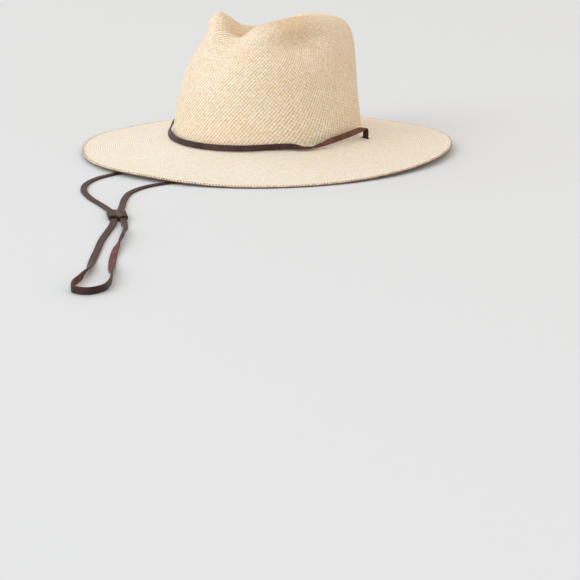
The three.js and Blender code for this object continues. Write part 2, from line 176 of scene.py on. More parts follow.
SLIDER_ENTRY = (0.008, -0.311)
SLIDER_COURSE = (0.561, -0.828)
SLIDER_LENGTH = 0.0235
SLIDER_WIDTH = 0.0156
SLIDER_THICKNESS = 0.0042
SLIDER_MIDDLE = 0.0024
SLIDER_POINTS = 72
SLIDER_ROWS = 30
SLIDER_ROUND = (0.5, 0.32)
SLIDER_WALL = 0.0009
SLIDER_WAIST = 0.00045
SLIDER_WAIST_REACH = 0.0028
SLIDER_CHANNEL = 0.0019
SLIDER_NECK = 0.15
SLIDER_NECK_REACH = 0.0016
SLIDER_LAP = 0.00045
SLIDER_LAP_PLACE = 0.0012
SLIDER_LAP_EDGE = 0.0005
SLIDER_LAP_TURN = 0.5
SLIDER_SLANT = 0.0012
SLIDER_END_ROUND = 0.06
SLIDER_END_SHARE = 0.08

# Crown lace: angle round the crown, height of its middle, stand off the wall, lean of its face
CROWN_LACE = (
    (-89, 0.0252, 0.0076, 86),
    (-82, 0.0236, 0.0062, 62),
    (-72, 0.0210, 0.0044, 34),
    (-60, 0.0196, 0.0036, 26),
    (-45, 0.0189, 0.0034, 24),
    (-30, 0.0187, 0.0034, 24),
    (-15, 0.0188, 0.0034, 24),
    (0, 0.0190, 0.0031, 24),
    (15, 0.0194, 0.0026, 18),
    (30, 0.0202, 0.0020, 12),
    (41, 0.0200, 0.0024, 30),
    (50, 0.0179, 0.0046, 82),
    (58, 0.0187, 0.0052, 138),
    (66, 0.0207, 0.0048, 176),
    (75, 0.0222, 0.0052, 188),
    (84, 0.0235, 0.0066, 206),
    (90, 0.0240, 0.0075, 230),
)
# The turn down into a hole: distance back from the hole, height, look of its face
HOLE_TURN = (
    (-0.0009, 0.0237, 45),
    (0.0010, 0.0214, 12),
    (0.0012, 0.0178, 0),
    (0.0004, 0.0142, -12),
    (-0.0018, 0.0109, -36),
)
# Chin lace: given places, and its roll in degrees, 0 where the grain side is up
CHIN_LACE = (
    (0.0933, 0.0114, 0.0105, 0),
    (0.0933, 0.0086, 0.0074, 0),
    (0.0933, 0.0046, 0.0045, 0),
    (0.0932, -0.0014, 0.0022, 0),
    (0.0928, -0.009, 0.00115, 0),
    (0.0914, -0.02, 0.00095, 0),
    (0.086, -0.048, 0.00095, 0),
    (0.076, -0.078, 0.00095, 0),
    (0.06, -0.11, 0.00095, 0),
    (0.038, -0.139, 0.00095, 0),
    (0.012, -0.163, 0.00095, 0),
    (-0.009, -0.183, 0.00095, 0),
    (-0.02, -0.206, 0.00095, 0),
    (-0.021, -0.232, 0.00095, 0),
    (-0.013, -0.258, 0.00095, 0),
    (-0.001, -0.284, 0.0011, 0),
    (0.0111, -0.3089, 0.0024, 0),
    (0.0177, -0.3186, 0.0024, 0),
    (0.0243, -0.3284, 0.0024, 0),
    (0.037, -0.349, 0.0018, -20),
    (0.049, -0.372, 0.0029, -90),
    (0.059, -0.396, 0.00305, -100),
    (0.069, -0.421, 0.0018, -160),
    (0.08, -0.445, 0.001, -180),
    (0.093, -0.47, 0.0016, -160),
    (0.106, -0.493, 0.00305, -90),
    (0.116, -0.514, 0.00305, -90),
    (0.1195, -0.53, 0.00305, -90),
    (0.114, -0.5415, 0.00305, -90),
    (0.1025, -0.5415, 0.00305, -90),
    (0.095, -0.53, 0.00305, -90),
    (0.09, -0.51, 0.00305, -90),
    (0.082, -0.485, 0.0022, -45),
    (0.069, -0.456, 0.001, 0),
    (0.056, -0.426, 0.00095, 0),
    (0.043, -0.396, 0.00095, 0),
    (0.032, -0.366, 0.00095, 0),
    (0.0245, -0.345, 0.0016, 0),
    (0.0181, -0.3326, 0.0024, 0),
    (0.0115, -0.3228, 0.0024, 0),
    (0.0049, -0.3131, 0.0024, 0),
    (-0.0045, -0.3015, 0.0016, 0),
    (-0.02, -0.286, 0.00095, 0),
    (-0.042, -0.266, 0.00095, 0),
    (-0.061, -0.243, 0.00095, 0),
    (-0.073, -0.217, 0.00095, 0),
    (-0.076, -0.191, 0.00095, 0),
    (-0.071, -0.165, 0.00095, 0),
    (-0.072, -0.135, 0.00095, 0),
    (-0.079, -0.1, 0.00095, 0),
    (-0.087, -0.06, 0.00095, 0),
    (-0.0914, -0.02, 0.00095, 0),
    (-0.0928, -0.009, 0.00115, 0),
    (-0.0932, -0.0014, 0.0022, 0),
    (-0.0933, 0.0046, 0.0045, 0),
    (-0.0933, 0.0086, 0.0074, 0),
    (-0.0933, 0.0114, 0.0105, 0),
)

# Materials, light and stage
STRETCH_CELLS = 2.0
# Level of the V strands, level of the U strands, and how far both rise and fall
CROWN_LEVELS = (1.1, 0.76, 0.34)
BRIM_LEVELS = (0.55, 1.1, 0.2)
BORDER_LEVELS = (1.0, 1.0, 0.35)
# Height of the strands' relief
CROWN_RELIEF = 0.00022
BRIM_RELIEF = 0.00006
BORDER_RELIEF = 0.00012
# Noise that moves the strands, noise of the paler patches, and noise that fills the gaps: waves a
# metre and detail
WANDER_NOISE = (110.0, 3.0)
PATCH_NOISE = (28.0, 4.0)
UNEVEN_NOISE = (380.0, 2.0)
STRAND_WANDER = 0.36
# From, to and strength of the patches
PATCHES = (0.35, 0.7, 0.4)
UNEVEN_FILL = 1.25
# Height of the upper strand below which the gap shows, and above which it is closed
GAP_CLOSES = (0.35, 1.1)
# Painted shade on the crown's straw above the left pinch: its middle, its reach and its tint
PAINTED_PINCH_SHADE = ((0.036, -0.034, 0.134), 0.050, "#f2e5d0")
# How much light goes through the straw, how far in, and its colour share by channel
STRAW_THROUGH = 0.3
STRAW_DEPTH = 0.0025
STRAW_DEPTH_SHARES = (1.0, 0.5, 0.22)
STRAW_ROUGHNESS = 0.6
STRAW_IOR = 1.45
# Across the lace's section: where its flesh side goes over into the grain side
FLESH_EDGE = (0.225, 0.25)
FLESH_ROUGHNESS = 0.8
GRAIN_SIZE = 0.0009
GRAIN_DEPTH = 0.0001
LEATHER_NOISE = (95.0, 5.0)
FIBRE_NOISE = (1500.0, 2.0)
KEEPER_NOISE = (240.0, 5.0)
CLOUD_RANGE = (0.3, 0.7)
LEATHER_GLOSS = 0.22
LACE_ROUGHNESS = 0.5
LACE_GRAIN = 0.5
KEEPER_ROUGHNESS = 0.55
KEEPER_GRAIN = 0.6
KEEPER_LAP = (0.225, 0.245)
# Reach of the painted highlight along the lap's cut edge
KEEPER_HIGHLIGHT_REACH = 0.02
# Painted shade on the border's lower side: from and to across its section, strength and colour
BORDER_PAINTED_SHADE = (1.42, 1.78, 0.95, "#6f4a2b")
FLOOR_HALF = 8.0
FLOOR_DROP = 0.0002
FLOOR_ROUGHNESS = 0.7
LIGHT_AIM = Vector((0.0, -0.05, 0.05))
KEY_PLACE = (-2.6, -5.2, 3.4)
KEY_SIZE = 3.2
KEY_POWER = 112.0
# The pale room: the side it is brightest on, and its strength there and on the far side
ROOM_BRIGHT_SIDE = (-0.50, -0.86, 0.02)
ROOM_STRENGTH = (0.90, 1.24)
ROOM_COLOURS = ("#fbe0c4", "#fbfbff")
ROOM_WARM_TO = 0.15


# Shared shape helpers

def smooth(t):
    """Eased step: 0 below 0, 1 above 1, and 3t^2 - 2t^3 between."""
    t = np.clip(t, 0.0, 1.0)
    return t * t * (3.0 - 2.0 * t)


def read_table(rows, column, at):
    """A column of a table at a place in its first column, eased from row to row."""
    table = np.array(rows, float)
    places = table[:, 0]
    values = table[:, column]
    i = np.clip(np.searchsorted(places, at) - 1, 0, len(places) - 2)
    share = smooth((at - places[i]) / (places[i + 1] - places[i]))
    return values[i] + share * (values[i + 1] - values[i])


def unit(vectors):
    """Vectors divided by their lengths."""
    return vectors / (np.linalg.norm(vectors, axis=-1, keepdims=True) + LEAST_LENGTH)


def power_curve(x, power):
    """A squarish quarter circle: (1 - x^power)^(1/power)."""
    return np.clip(1.0 - x**power, 0.0, None) ** (1.0 / power)


def flattened(turn, powers):
    """Cosine and sine of a turn, each raised to a power with its sign kept, which makes a circle a
    rounded oblong."""
    parts = (np.cos(turn), np.sin(turn))
    return [np.sign(part) * np.abs(part) ** power for part, power in zip(parts, powers)]


# Straw body: crown and brim in one wall

def ahead_and_behind(angle):
    """Squared cosine towards the front and towards the back, each 0 on the other side."""
    cosine = np.cos(angle)
    return np.clip(cosine, 0, None) ** 2, np.clip(-cosine, 0, None) ** 2


def brim_width(angle):
    """Brim width, eased from its side width to its front and back widths."""
    ahead, behind = ahead_and_behind(angle)
    return BRIM_SIDE + (BRIM_FRONT - BRIM_SIDE) * ahead + (BRIM_BACK - BRIM_SIDE) * behind


def edge_lift(angle):
    """Rise of the brim's edge: a squared cosine swell at each row of EDGE_LIFTS."""
    lift = np.zeros_like(angle)
    for at, spread, rise in EDGE_LIFTS:
        away = angle - math.radians(at)
        away = np.abs(np.arctan2(np.sin(away), np.cos(away)))
        share = np.minimum(1.0, away / math.radians(spread))
        lift = lift + rise * np.cos(np.pi / 2 * share) ** 2
    return lift


def brim_surface(angle, out):
    """Upper face of the brim: an oval ring that falls by (1 - share)^bow to its flat edge."""
    share = np.minimum(1.0, out / (brim_width(angle) - EDGE_FLAT))
    foot = WALL + edge_lift(angle) * share**2
    z = foot + (BREAK_HEIGHT - WALL) * np.clip(1.0 - share, 0, None) ** BRIM_BOW
    x = (CROWN_HALF_WIDTH + out) * np.sin(angle)
    y = -(CROWN_HALF_LENGTH + out) * np.cos(angle)
    return np.stack(np.broadcast_arrays(x, y, z), -1)


def crease_depth(x, y, z):
    """Depth of the centre crease: a bell across the hat, as deep and wide as CREASE says."""
    depth = read_table(CREASE, 1, y)
    half = read_table(CREASE, 2, y)
    middle = CREASE_DRIFT * smooth(-y / CREASE_DRIFT_OVER)
    high = (z - BREAK_HEIGHT) / CROWN_RISE
    share = smooth((high - CREASE_START) / (CREASE_FULL - CREASE_START))
    return depth * share * np.exp(-np.abs((x - middle) / half) ** CREASE_EDGE)


def pinch_push(pinch, x, y, z):
    """A pinch: a rounded dent pressed straight in towards the crown's middle."""
    degrees, height, depth, reach, upright = pinch
    angle = math.radians(degrees)
    out = unit(np.array([math.sin(angle) * CROWN_HALF_LENGTH, -math.cos(angle) * CROWN_HALF_WIDTH]))
    from_x = x - CROWN_HALF_WIDTH * math.sin(angle) * PINCH_RING
    from_y = y + CROWN_HALF_LENGTH * math.cos(angle) * PINCH_RING
    along = -from_x * out[1] + from_y * out[0]
    inward = from_x * out[0] + from_y * out[1]
    bell = np.exp(-((along / reach) ** 2) - ((z - height) / upright) ** 2)
    push = depth * bell * smooth((inward + PINCH_REACH) / PINCH_REACH)
    return out[0] * push, out[1] * push


def crown_surface(angle, ring, level):
    """Outer face of the crown: an oval that shrinks with its height, leans, and takes the peak,
    the fall of the roof, the crease and the pinches in turn."""
    ahead, behind = ahead_and_behind(angle)
    beside = np.sin(angle) ** 2 * (1 + TAPER_LOPSIDED * np.sin(angle))
    taper = TAPER_FRONT * ahead + TAPER_SIDE * beside + TAPER_BACK * behind
    size = ring * (1 - taper * level**TAPER_BOW)
    x = CROWN_HALF_WIDTH * np.sin(angle) * size + CROWN_LEAN[0] * level**2
    y = -CROWN_HALF_LENGTH * np.cos(angle) * size + CROWN_LEAN[1] * level**2
    z = BREAK_HEIGHT + CROWN_RISE * level
    roof = level**3
    z = z - ROOF_BACK_FALL[0] * smooth((y - ROOF_BACK_FALL[1]) / ROOF_BACK_FALL[2]) * roof
    z = z + ROOF_FRONT_RISE[0] * smooth((ROOF_FRONT_RISE[1] - y) / ROOF_FRONT_RISE[2]) * roof
    rightward = smooth(-x / ROOF_SIDEWAYS)
    backward = smooth((y - ROOF_RIGHT_FALL[1]) / ROOF_RIGHT_FALL[2])
    z = z - ROOF_RIGHT_FALL[0] * rightward * backward * roof
    peak_x = (x - PEAK_PLACE[0]) / PEAK_RADIUS
    peak_y = (y - PEAK_PLACE[1]) / (PEAK_RADIUS * PEAK_STRETCH)
    z = z + PEAK_RISE * np.exp(-(peak_x**2) - peak_y**2) * roof
    z = z - crease_depth(x, y, z)
    for pinch in PINCHES:
        push_x, push_y = pinch_push(pinch, x, y, z)
        x = x - push_x
        y = y - push_y
    return np.stack(np.broadcast_arrays(x, y, z), -1)


def crown_rows(angle, share):
    """Crown by share of its profile: a steep wall up to WALL_SHARE, then the roof inwards."""
    level_low = WALL_LEVEL * share / WALL_SHARE
    ring_low = power_curve(np.minimum(level_low, 1.0), CROWN_SQUARENESS)
    ring_top = power_curve(WALL_LEVEL, CROWN_SQUARENESS)
    ring_high = ring_top * (1 - share) / (1 - WALL_SHARE)
    level_high = power_curve(np.minimum(ring_high, 1.0), CROWN_SQUARENESS)
    on_wall = share < WALL_SHARE
    ring = np.where(on_wall, ring_low, ring_high)
    level = np.where(on_wall, level_low, level_high)
    return crown_surface(angle, ring, level)


def grid_normals(points):
    """Unit normals of a grid that closes round its columns: change along rows crossed with change
    along columns."""
    sideways = np.roll(points, -1, axis=1) - np.roll(points, 1, axis=1)
    upwards = np.gradient(points, axis=0)
    return unit(np.cross(sideways, upwards))


def grid_piece(name, points, face_rows, low_uv, high_uv, finishes=None):
    """A mesh of a grid whose columns close on themselves. Each face row is (row, row after it) and
    has its own lower and upper coordinates and finish, so a pattern may change from row to row.
    Rings that shrink to one point are merged, which closes the poles."""
    rows, columns = points.shape[:2]
    lower = np.array([pair[0] for pair in face_rows])[:, None] * columns
    upper = np.array([pair[1] for pair in face_rows])[:, None] * columns
    j = np.arange(columns)[None, :]
    k = (j + 1) % columns
    quads = np.stack([lower + j, lower + k, upper + k, upper + j], -1).reshape(-1, 4)
    uv = np.stack([low_uv[:, :-1], low_uv[:, 1:], high_uv[:, 1:], high_uv[:, :-1]], 2)
    mesh = bpy.data.meshes.new(name)
    mesh.vertices.add(rows * columns)
    mesh.vertices.foreach_set("co", points.astype(np.float32).ravel())
    mesh.loops.add(quads.size)
    mesh.loops.foreach_set("vertex_index", quads.ravel().astype(np.int32))
    mesh.polygons.add(len(quads))
    mesh.polygons.foreach_set("loop_start", np.arange(0, quads.size, 4, dtype=np.int32))
    mesh.polygons.foreach_set("use_smooth", np.ones(len(quads), bool))
    if finishes is not None:
        mesh.polygons.foreach_set("material_index", np.repeat(finishes, columns).astype(np.int32))
    mesh.update(calc_edges=True)
    layer = mesh.uv_layers.new(name=PATTERN_UV)
    layer.data.foreach_set("uv", uv.astype(np.float32).ravel())
    work = bmesh.new()
    work.from_mesh(mesh)
    bmesh.ops.remove_doubles(work, verts=work.verts, dist=MERGE_DISTANCE)
    work.to_mesh(mesh)
    work.free()
    piece = bpy.data.objects.new(name, mesh)
    bpy.context.scene.collection.objects.link(piece)
    return piece


def hand_waves(points):
    """Shallow unevenness of a hand-woven brim, 0 to 1: three crossing waves, faded towards the
    crown."""
    x, y = points[..., 0], points[..., 1]
    waves = sum(np.sin(a * x + b * y + start) for a, b, start in HAND_WAVES)
    out = np.hypot(x / CROWN_HALF_WIDTH, y / CROWN_HALF_LENGTH) - 1.0
    count = len(HAND_WAVES)
    return smooth(out * CROWN_HALF_WIDTH / HAND_WAVE_FROM) * (waves + count) / (2 * count)


def closed_angles():
    """Column angles of the straw body from back to back, with the first one again at the end."""
    return np.linspace(-math.pi, math.pi, AROUND + 1)


def wall_weave(angles, heights):
    """Strand coordinates on the crown's wall: a square mesh of strands turned by an angle that
    changes round the hat, as V = integral of cos(turn) ds - h sin(turn) and
    U = integral of sin(turn) ds + h cos(turn), each closed to a whole number round the hat."""
    turn = np.radians(read_table(STRAND_TURN, 1, np.degrees(angles)))
    step = MEAN_RADIUS * np.diff(angles)
    middle = 0.5 * (turn[1:] + turn[:-1])
    run_cos = np.concatenate([[0.0], np.cumsum(np.cos(middle) * step)])
    run_sin = np.concatenate([[0.0], np.cumsum(np.sin(middle) * step)])
    share = (angles + math.pi) / (2 * math.pi)
    high = heights - WALL_MIDDLE
    v = (run_cos - high * np.sin(turn)) / CROWN_STRAND
    u = (run_sin + high * np.cos(turn)) / CROWN_STRAND
    v_total = run_cos[-1] / CROWN_STRAND
    u_total = run_sin[-1] / CROWN_STRAND
    v = v + share * (2 * round(v_total / 2) - v_total)
    u = u + share * (2 * round(u_total / 2) - u_total)
    return np.stack([u, v], -1)


def ring_weave(angles, count, across, diagonal):
    """Strand coordinates in rings: count strands round the hat and across strands inwards,
    or the same two added and subtracted, which lays them diagonally."""
    around = count * (angles + math.pi) / (2 * math.pi)
    around = np.broadcast_to(around[None, :], across.shape)
    if diagonal:
        return np.stack([across + around, around - across], -1)
    return np.stack([across, around], -1)


def roof_weave(angles, radii):
    """Strand coordinates on the roof: diagonal strands in rings round the crown's middle, each ring
    with a count of its own, as strands are added there when a hat is begun."""
    rings = []
    for count, _ in ROOF_RINGS:
        steps = np.diff(radii, prepend=radii[0])
        across = np.cumsum(-steps * count / (2 * math.pi * np.maximum(radii, ROOF_LEAST_RADIUS)))
        rings.append(ring_weave(angles, count, np.repeat(across[:, None], len(angles), 1), True))
    return rings


def straw_rows():
    """The upper and outer face of the body as rows of points from near the brim's edge to the
    crown's middle, with the number of brim rows and the row where the crown starts."""
    angle = closed_angles()[None, :-1]
    out_edge = brim_width(angle) - BORDER_WIDTH / 2
    share = np.linspace(0.0, 1.0, BRIM_ROWS + 1)[:, None]
    brim = brim_surface(angle, out_edge * (1 - share) + BREAK_FILLET * share)
    rise = WALL_SHARE / WALL_LEVEL * BREAK_FILLET / CROWN_RISE
    foot = brim_surface(angle, np.full((1, 1), BREAK_FILLET))
    corner = brim_surface(angle, np.zeros((1, 1)))
    head = crown_rows(angle, np.full((1, 1), rise))
    t = (np.arange(1, FILLET_ROWS) / FILLET_ROWS)[:, None, None]
    fillet = foot * (1 - t) ** 2 + corner * 2 * t * (1 - t) + head * t**2
    crown_share = rise + (1 - rise) * np.linspace(0.0, 1.0, CROWN_ROWS + 1)[:, None]
    crown = crown_rows(angle, crown_share)
    return np.concatenate([brim, fillet, crown]), len(brim), len(brim) + len(fillet)


def straw_body():
    """The woven body: its outer rows, then every second row again one wall further in."""
    rows, brim_end, crown_start = straw_rows()
    from_edge = smooth(np.arange(len(rows)) / HAND_WAVE_EDGE_ROWS)[:, None]
    rows[:, :, 2] += HAND_WAVE * hand_waves(rows) * from_edge
    normals = grid_normals(rows)
    normals[-1] = unit(normals[-2].mean(0))
    normals[:brim_end] = (0.0, 0.0, 1.0)
    inner_pick = np.arange(len(rows) - 1, -1, -INNER_EVERY)
    if inner_pick[-1] != 0:
        inner_pick = np.append(inner_pick, 0)
    inner = rows[inner_pick] - WALL * normals[inner_pick]
    points = np.concatenate([rows, inner])

    angles = closed_angles()
    lengths = np.linalg.norm(np.diff(rows, axis=0), axis=-1)
    climbed = np.concatenate([np.zeros((1, AROUND)), np.cumsum(lengths, axis=0)])
    climbed = climbed - climbed[crown_start]
    climbed = np.concatenate([climbed, climbed[:, :1]], 1)
    middle = rows[-1, 0]
    radii = np.linalg.norm((rows - middle)[:, :, :2], axis=-1).mean(1)
    brims = [
        ring_weave(angles, count, -climbed / BRIM_STRAND, False) for count, _ in BRIM_RINGS
    ]
    wall = wall_weave(angles, climbed)
    roofs = roof_weave(angles, radii)

    def pattern_of(row):
        """The coordinates that the face row above this row lies in."""
        if row < crown_start - 1:
            out = -climbed[row + 1].mean()
            return next(brims[n] for n, (_, reach) in enumerate(BRIM_RINGS) if out <= reach)
        if radii[row] > ROOF_OUTSIDE:
            return wall
        return next(roofs[n] for n, (_, least) in enumerate(ROOF_RINGS) if radii[row] >= least)

    count = len(rows)
    outer_rows = [(row, row + 1) for row in range(count - 1)]
    inner_rows = [(count + n, count + n + 1) for n in range(len(inner_pick) - 1)]
    low = [pattern_of(row)[row] for row, _ in outer_rows]
    high = [pattern_of(row)[row + 1] for row, _ in outer_rows]
    for n in range(len(inner_pick) - 1):
        pattern = pattern_of(inner_pick[n + 1])
        low.append(pattern[inner_pick[n]])
        high.append(pattern[inner_pick[n + 1]])
    edge_rows = [(len(points) - 1, 0)]
    low.append(pattern_of(0)[0])
    high.append(pattern_of(0)[0])
    finishes = [int(row + 1 < crown_start) for row, _ in outer_rows]
    finishes += [int(inner_pick[n] < crown_start) for n in range(len(inner_rows))] + [1]
    face_rows = outer_rows + inner_rows + edge_rows
    return grid_piece(
        "straw_weave", points, face_rows, np.array(low), np.array(high), finishes
    )


def slot_cutter(side):
    """A prism with round ends that cuts one lace slot, standing well past both faces."""
    angle = math.radians(side * HOLE_ANGLE)
    middle = brim_surface(np.array(angle), np.array(HOLE_OUT))
    turn = np.linspace(0.0, 2 * math.pi, SLOT_POINTS, endpoint=False)
    flat = (HOLE_WIDTH - HOLE_LENGTH) / 2
    x = middle[0] + HOLE_LENGTH / 2 * np.cos(turn) + flat * np.sign(np.cos(turn))
    y = middle[1] + HOLE_LENGTH / 2 * np.sin(turn)
    low = np.stack([x, y, np.full_like(x, middle[2] - SLOT_REACH)], -1)
    high = np.stack([x, y, np.full_like(x, middle[2] + SLOT_REACH)], -1)
    i = np.arange(SLOT_POINTS)
    j = (i + 1) % SLOT_POINTS
    walls = np.stack([i, j, j + SLOT_POINTS, i + SLOT_POINTS], -1).tolist()
    caps = [i[::-1].tolist(), (i + SLOT_POINTS).tolist()]
    mesh = bpy.data.meshes.new("slot_cutter")
    mesh.from_pydata(np.concatenate([low, high]).tolist(), [], walls + caps)
    cutter = bpy.data.objects.new("slot_cutter", mesh)
    bpy.context.scene.collection.objects.link(cutter)
    return cutter


def cut_slots(body):
    """Cut both lace slots through the brim and keep the result as the body's own mesh."""
    for side in (-1, 1):
        cutter = slot_cutter(side)
        cut = body.modifiers.new("slot", "BOOLEAN")
        cut.operation = "DIFFERENCE"
        cut.solver = "MANIFOLD"
        cut.object = cutter
        seen = body.evaluated_get(bpy.context.evaluated_depsgraph_get())
        cut_mesh = bpy.data.meshes.new_from_object(seen)
        old = body.data
        body.modifiers.clear()
        body.data = cut_mesh
        bpy.data.meshes.remove(old)
        bpy.data.objects.remove(cutter)


def brim_border():
    """The braided edge: a rounded oblong carried round the brim, whose size swells in slanting
    ridges, one for each strand turned back, as
    1 - depth + depth sqrt(|sin(ridges angle / 2 + lay turn / 2)|)."""
    angle = np.linspace(-math.pi, math.pi, BORDER_COLUMNS, endpoint=False)[None, :]
    turn = np.linspace(-math.pi, math.pi, BORDER_POINTS, endpoint=False)[:, None]
    ridge = np.abs(np.sin(BORDER_RIDGES * angle / 2 + turn / 2 * BORDER_LAY))
    swell = 1 - BORDER_RIDGE_DEPTH + BORDER_RIDGE_DEPTH * ridge**0.5
    outward, upward = flattened(turn, BORDER_ROUND)
    out = brim_width(angle) - BORDER_WIDTH / 2 + BORDER_WIDTH / 2 * outward * swell
    z = edge_lift(angle) + BORDER_HEIGHT / 2 * (1 + upward * swell)
    x = (CROWN_HALF_WIDTH + out) * np.sin(angle)
    y = -(CROWN_HALF_LENGTH + out) * np.cos(angle)
    points = np.stack([x, y, z], -1)
    around = np.linspace(0.0, BORDER_RIDGES, BORDER_COLUMNS + 1)[None, :]
    over = np.linspace(0.0, BORDER_LAY, BORDER_POINTS + 1)[:, None]
    uv = np.stack(np.broadcast_arrays(over, around + over / 2), -1)
    face_rows = [(n, (n + 1) % BORDER_POINTS) for n in range(BORDER_POINTS)]
    return grid_piece("brim_border", points, face_rows, uv[:-1], uv[1:])


# Laces

def curve_point(places, t):
    """A centripetal Catmull-Rom curve through the places and its tangent: between two places it is
    a cubic whose end slopes come from the chords, weighted by the square root of their lengths."""
    before = 2 * places[0] - places[1]
    after = 2 * places[-1] - places[-2]
    padded = np.concatenate([[before], places, [after]])
    along = np.clip(t, 0, 1) * (len(places) - 1)
    i = np.minimum(along.astype(int), len(places) - 2)
    w = (along - i)[:, None]
    p0, p1, p2, p3 = (padded[i + k] for k in range(4))
    d0, d1, d2 = (
        np.sqrt(np.linalg.norm(b - a, axis=-1, keepdims=True))
        for a, b in ((p0, p1), (p1, p2), (p2, p3))
    )
    slope1 = ((p1 - p0) / d0 - (p2 - p0) / (d0 + d1) + (p2 - p1) / d1) * d1
    slope2 = ((p2 - p1) / d1 - (p3 - p1) / (d1 + d2) + (p3 - p2) / d2) * d1
    c2 = 3 * (p2 - p1) - 2 * slope1 - slope2
    c3 = 2 * (p1 - p2) + slope1 + slope2
    point = p1 + slope1 * w + c2 * w**2 + c3 * w**3
    return point, unit(slope1 + 2 * c2 * w + 3 * c3 * w**2)


def lace_frame(places, facings, t):
    """Middle, tangent and facing of the lace: the facing is eased from row to row and squared to
    the tangent, and the middle is raised where the lace would sink into the surface below."""
    point, tangent = curve_point(places, t)
    along = np.clip(t, 0, 1) * (len(places) - 1)
    i = np.minimum(along.astype(int), len(places) - 2)
    w = smooth(along - i)[:, None]
    facing = facings[i] * (1 - w) + facings[i + 1] * w
    facing = unit(facing - tangent * np.sum(facing * tangent, -1, keepdims=True))
    flatness = np.abs(facing[:, 2])
    reach = (flatness * LACE_THICKNESS + np.sqrt(1 - flatness**2) * LACE_WIDTH) / 2
    point[:, 2] = np.maximum(point[:, 2], FLOOR_GAP + reach)
    return point, tangent, facing


def lace_piece(name, places, facings):
    """A flat lace: a rounded oblong section carried along the curve at equal steps, closed by a
    fan at each end. Returns the piece, the middles of its rings and their whole length."""
    fine_t = np.linspace(0.0, 1.0, LACE_SAMPLES)
    fine, _, _ = lace_frame(places, facings, fine_t)
    run = np.concatenate([[0.0], np.cumsum(np.linalg.norm(np.diff(fine, axis=0), axis=-1))])
    rings = int(round(run[-1] / LACE_STEP)) + 1
    t = np.interp(np.linspace(0.0, run[-1], rings), run, fine_t)
    middle, tangent, facing = lace_frame(places, facings, t)
    sideways = np.cross(tangent, facing)
    turn = np.linspace(0.0, 2 * math.pi, LACE_POINTS, endpoint=False)
    thick, wide = flattened(turn, LACE_ROUND)
    points = (
        middle[:, None]
        + facing[:, None] * (LACE_THICKNESS / 2 * thick)[None, :, None]
        + sideways[:, None] * (LACE_WIDTH / 2 * wide)[None, :, None]
    )
    first, last = (np.broadcast_to(middle[n], points[:1].shape) for n in (0, -1))
    points = np.concatenate([first, points, last])
    length = np.concatenate([[0.0], np.linspace(0.0, run[-1], rings), [run[-1]]])
    across = np.linspace(0.0, 1.0, LACE_POINTS + 1)
    uv = np.stack(np.broadcast_arrays(length[:, None], across[None, :]), -1)
    face_rows = [(n, n + 1) for n in range(len(points) - 1)]
    piece = grid_piece(name, points, face_rows, uv[:-1], uv[1:])
    return piece, middle, float(run[-1])


def crown_lace():
    """The lace as the hat holds it: down through one slot, round the front of the crown's foot and
    down through the other slot."""
    row = np.array(CROWN_LACE)
    angle = np.radians(row[:, 0])
    level = (row[:, 1] - BREAK_HEIGHT) / CROWN_RISE
    wall = crown_surface(angle, np.ones_like(angle), level)
    outward = unit(
        np.stack(
            [np.sin(angle) * CROWN_HALF_LENGTH, -np.cos(angle) * CROWN_HALF_WIDTH, 0 * angle], -1
        )
    )
    lean = np.radians(row[:, 3])[:, None]
    places = wall + outward * row[:, 2:3]
    facings = outward * np.cos(lean) + np.array([0.0, 0.0, 1.0]) * np.sin(lean)
    turn = np.array(HOLE_TURN)
    look = np.radians(turn[:, 2])
    turn_facing = np.stack([0 * look, np.cos(look), np.sin(look)], -1)
    ends = []
    for side in (-1, 1):
        hole = brim_surface(np.array(math.radians(side * HOLE_ANGLE)), np.array(HOLE_OUT))
        ends.append(np.stack([hole[0] + 0 * look, hole[1] + turn[:, 0], turn[:, 1]], -1))
    places = np.concatenate([ends[0][::-1], places, ends[1]])
    facings = np.concatenate([turn_facing[::-1], facings, -turn_facing])
    return lace_piece("crown_lace_band", places, facings)


def chin_lace():
    """The free part of the lace along its listed route, its grain side rolled as it says."""
    row = np.array(CHIN_LACE)
    places = row[:, :3]
    _, tangent = curve_point(places, np.linspace(0.0, 1.0, len(places)))
    right_hand = unit(np.cross(tangent, np.array([0.0, 0.0, 1.0])))
    up = np.cross(right_hand, tangent)
    roll = np.radians(row[:, 3])[:, None]
    facings = up * np.cos(roll) + right_hand * np.sin(roll)
    return lace_piece("chin_lace_run", places, facings)


